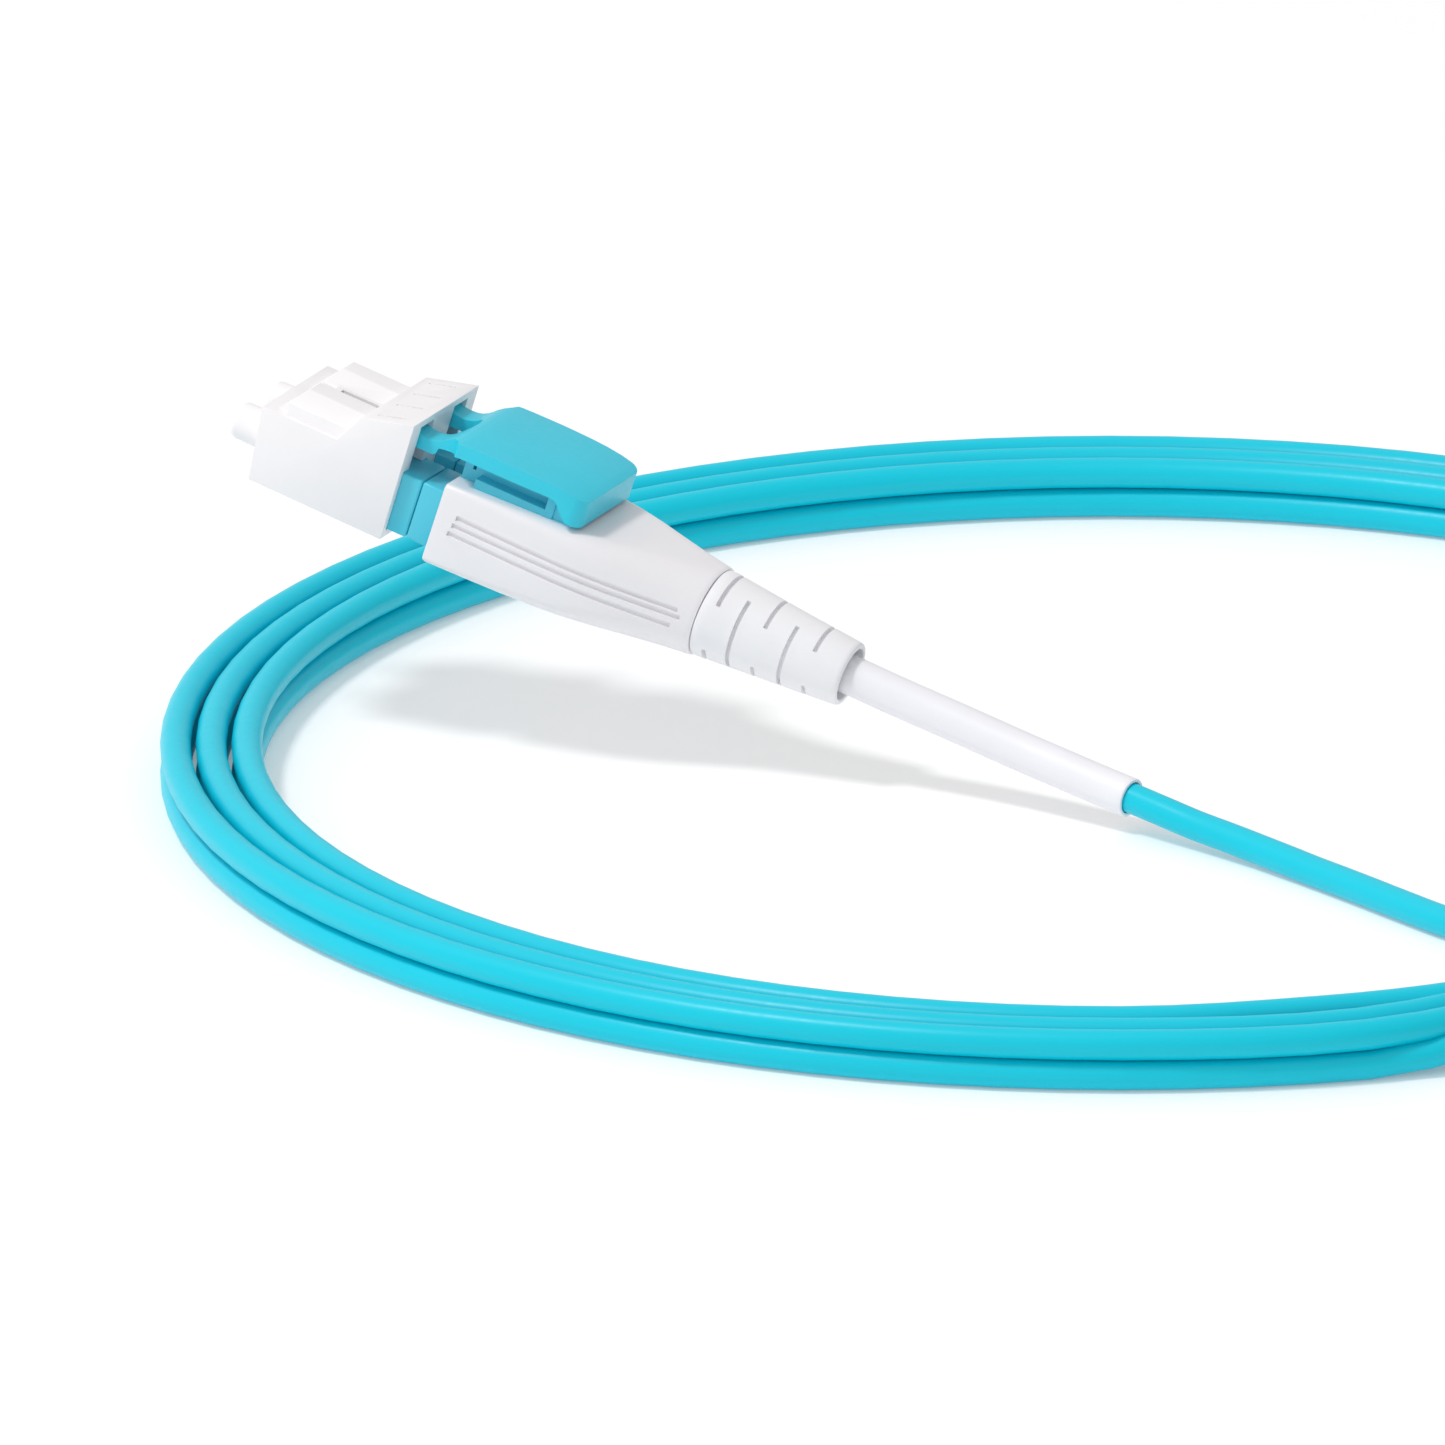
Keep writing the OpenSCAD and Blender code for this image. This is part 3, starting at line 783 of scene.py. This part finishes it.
floor = new_mesh("floor", [(-12, -12, 0), (12, -12, 0), (12, 12, 0), (-12, 12, 0)], [(0, 1, 2, 3)])
floor.location.z = -0.00002
pale = bpy.data.materials.new("floor_pale")
pale.use_nodes = True
pale_shader = pale.node_tree.nodes["Principled BSDF"]
pale_shader.inputs["Base Color"].default_value = (0.8, 0.8, 0.8, 1)
pale_shader.inputs["Emission Color"].default_value = (1, 1, 1, 1)
pale_shader.inputs["Emission Strength"].default_value = 0.21
pale_shader.inputs["Roughness"].default_value = 1.0
pale_shader.inputs["Specular IOR Level"].default_value = 0.0
floor.data.materials.append(pale)

# pale surroundings, brighter up and to the left
world = bpy.data.worlds.new("studio")
bpy.context.scene.world = world
world.use_nodes = True
world.node_tree.nodes["Background"].inputs["Color"].default_value = (1, 1, 1, 1)
tree = world.node_tree
ray = tree.nodes.new("ShaderNodeTexCoord")
toward = tree.nodes.new("ShaderNodeVectorMath")
toward.operation = "DOT_PRODUCT"
toward.inputs[1].default_value = Vector((-0.8, -0.1, 0.5)).normalized()
level = tree.nodes.new("ShaderNodeMapRange")
level.inputs["From Min"].default_value, level.inputs["From Max"].default_value = -1, 1
level.inputs["To Min"].default_value, level.inputs["To Max"].default_value = 0.3, 0.9
tree.links.new(ray.outputs["Generated"], toward.inputs[0])
tree.links.new(toward.outputs["Value"], level.inputs["Value"])
tree.links.new(level.outputs["Result"], tree.nodes["Background"].inputs["Strength"])


def area(name, where, size, power, at=(-0.02, -0.03, 0.0)):
    """A round lamp that points at one place on the floor."""
    lamp = bpy.data.lights.new(name, "AREA")
    lamp.shape = "DISK"
    lamp.size, lamp.energy = size, power
    o = bpy.data.objects.new(name, lamp)
    bpy.context.collection.objects.link(o)
    o.location = where
    o.rotation_mode = "QUATERNION"
    o.rotation_quaternion = (Vector(at) - Vector(where)).to_track_quat("-Z", "Y")
    return o


area("key", (-0.42, -0.22, 0.85), 0.17, 3.5)
bpy.context.scene.view_settings.view_transform = "Standard"
bpy.context.scene.view_settings.look = "None"
bpy.context.scene.view_settings.exposure = 0.0
